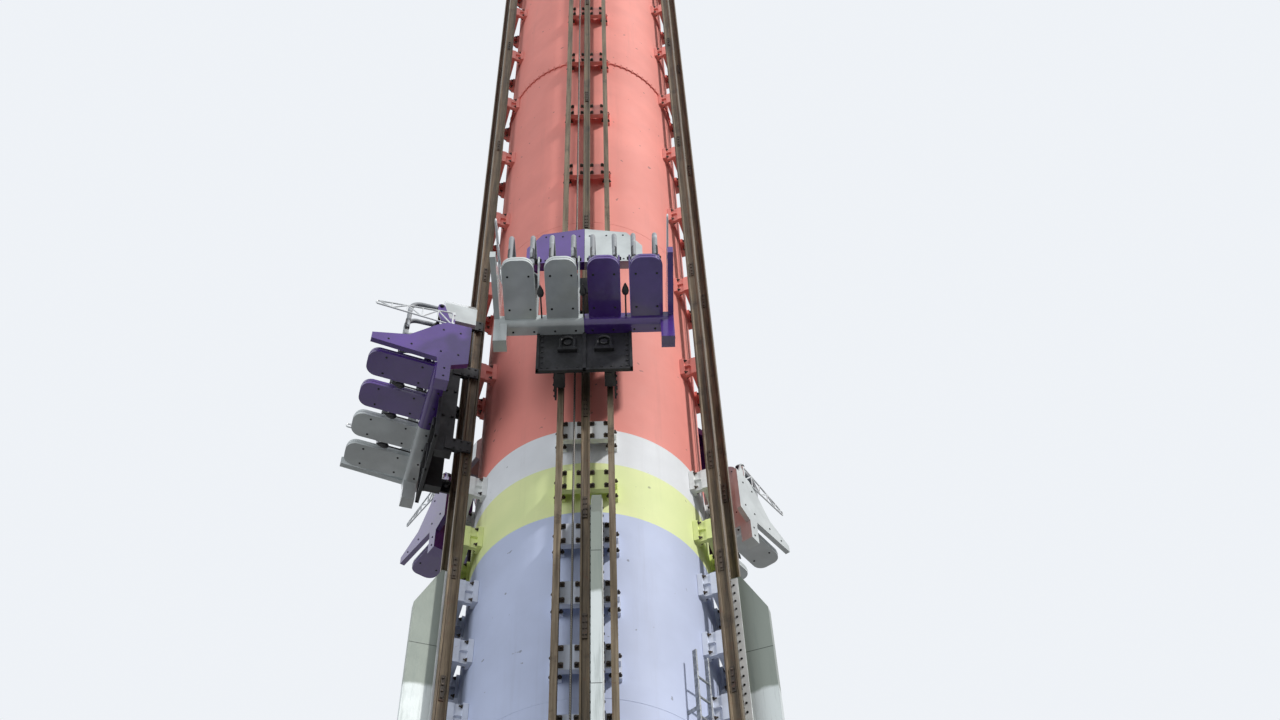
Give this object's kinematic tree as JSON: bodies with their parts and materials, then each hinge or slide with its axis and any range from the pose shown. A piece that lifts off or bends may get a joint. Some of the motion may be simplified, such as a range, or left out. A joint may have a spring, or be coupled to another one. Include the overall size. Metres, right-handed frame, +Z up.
{
  "type": "drop tower ride, 1:2 scale model",
  "caption": "Freefall drop tower: a round banded steel column with vertical rail tracks, brake fins, and four-seat cars that each slide up and down their own track.",
  "frame": {"origin": "centre of the base plate's underside, on the column's axis", "axes": "+Z up the column, -Y out through the front track, +X to the right seen from the front"},
  "size_m": [3.9378, 3.745, 29.88],
  "materials": {
    "lavender_paint": "semi-gloss paint, lightly weathered",
    "yellow_paint": "semi-gloss paint",
    "white_paint": "semi-gloss paint",
    "coral_paint": "sun-bleached semi-gloss paint",
    "weathered_rail": "weathered brown paint with grease and rust",
    "bracket_paint": "paint in the column's colours",
    "fin_grey": "dull",
    "galvanised_steel": "galvanised",
    "wire_rope": "greased",
    "black_steel": "satin black",
    "white_shell": "glossy moulded shell",
    "purple_shell": "glossy moulded shell",
    "harness_grey": "moulded foam on steel",
    "guard_white": "white enamel tube"
  },
  "bodies": {
    "tower": {"base_plate": "galvanised_steel", "base_gussets": "lavender_paint", "column_lavender": "lavender_paint", "column_yellow": "yellow_paint", "column_white": "white_paint", "column_coral": "coral_paint", "column_upper": "coral_paint", "joint_rings": "coral_paint", "guide_rails": "weathered_rail", "centre_beams": "weathered_rail", "brackets_low": "bracket_paint", "brackets_high": "coral_paint", "brake_fins": "fin_grey", "hoist_cables": "wire_rope", "cable_anchors": "galvanised_steel", "head_plate": "galvanised_steel", "head_housing": "lavender_paint", "sheave_cheeks": "weathered_rail", "sheaves": "galvanised_steel"},
    "car_1": {"car_1_carriage": "black_steel", "car_1_white_shell": "white_shell", "car_1_purple_shell": "purple_shell", "car_1_guards": "guard_white"},
    "car_1_harness": {"car_1_harnesses": "harness_grey"},
    "car_2": {"car_2_carriage": "black_steel", "car_2_white_shell": "white_shell", "car_2_purple_shell": "purple_shell", "car_2_guards": "guard_white"},
    "car_2_harness": {"car_2_harnesses": "harness_grey"},
    "car_3": {"car_3_carriage": "black_steel", "car_3_white_shell": "white_shell", "car_3_purple_shell": "purple_shell", "car_3_guards": "guard_white"},
    "car_3_harness": {"car_3_harnesses": "harness_grey"},
    "car_4": {"car_4_carriage": "black_steel", "car_4_white_shell": "white_shell", "car_4_purple_shell": "purple_shell", "car_4_guards": "guard_white"},
    "car_4_harness": {"car_4_harnesses": "harness_grey"},
    "car_5": {"car_5_carriage": "black_steel", "car_5_white_shell": "white_shell", "car_5_purple_shell": "purple_shell", "car_5_guards": "guard_white"},
    "car_5_harness": {"car_5_harnesses": "harness_grey"}
  },
  "joints": [
    {"name": "car_1_slide", "type": "slide", "parent": "tower", "child": "car_1", "axis": [0, 0, 1], "range_m": [-8.7, 17.8]},
    {"name": "car_1_harness_hinge", "type": "hinge", "parent": "car_1", "child": "car_1_harness", "pos_m": [0, -1.36, 10.222], "axis": [-1, 0, 0], "range_deg": [0, 75]},
    {"name": "car_2_slide", "type": "slide", "parent": "tower", "child": "car_2", "axis": [0, 0, 1], "range_m": [0, 26.5]},
    {"name": "car_2_harness_hinge", "type": "hinge", "parent": "car_2", "child": "car_2_harness", "pos_m": [1.29344, -0.42026, 1.52], "axis": [-0.309, -0.9511, 0], "range_deg": [0, 75]},
    {"name": "car_3_slide", "type": "slide", "parent": "tower", "child": "car_3", "axis": [0, 0, 1], "range_m": [-8.7, 17.8]},
    {"name": "car_3_harness_hinge", "type": "hinge", "parent": "car_3", "child": "car_3_harness", "pos_m": [0.79939, 1.10026, 10.222], "axis": [0.809, -0.5878, 0], "range_deg": [0, 75]},
    {"name": "car_4_slide", "type": "slide", "parent": "tower", "child": "car_4", "axis": [0, 0, 1], "range_m": [-8.7, 17.8]},
    {"name": "car_4_harness_hinge", "type": "hinge", "parent": "car_4", "child": "car_4_harness", "pos_m": [-0.79939, 1.10026, 10.222], "axis": [0.809, 0.5878, 0], "range_deg": [0, 75]},
    {"name": "car_5_slide", "type": "slide", "parent": "tower", "child": "car_5", "axis": [0, 0, 1], "range_m": [-8.7, 17.8]},
    {"name": "car_5_harness_hinge", "type": "hinge", "parent": "car_5", "child": "car_5_harness", "pos_m": [-1.29344, -0.42026, 10.222], "axis": [-0.309, 0.9511, 0], "range_deg": [0, 75]}
  ]
}
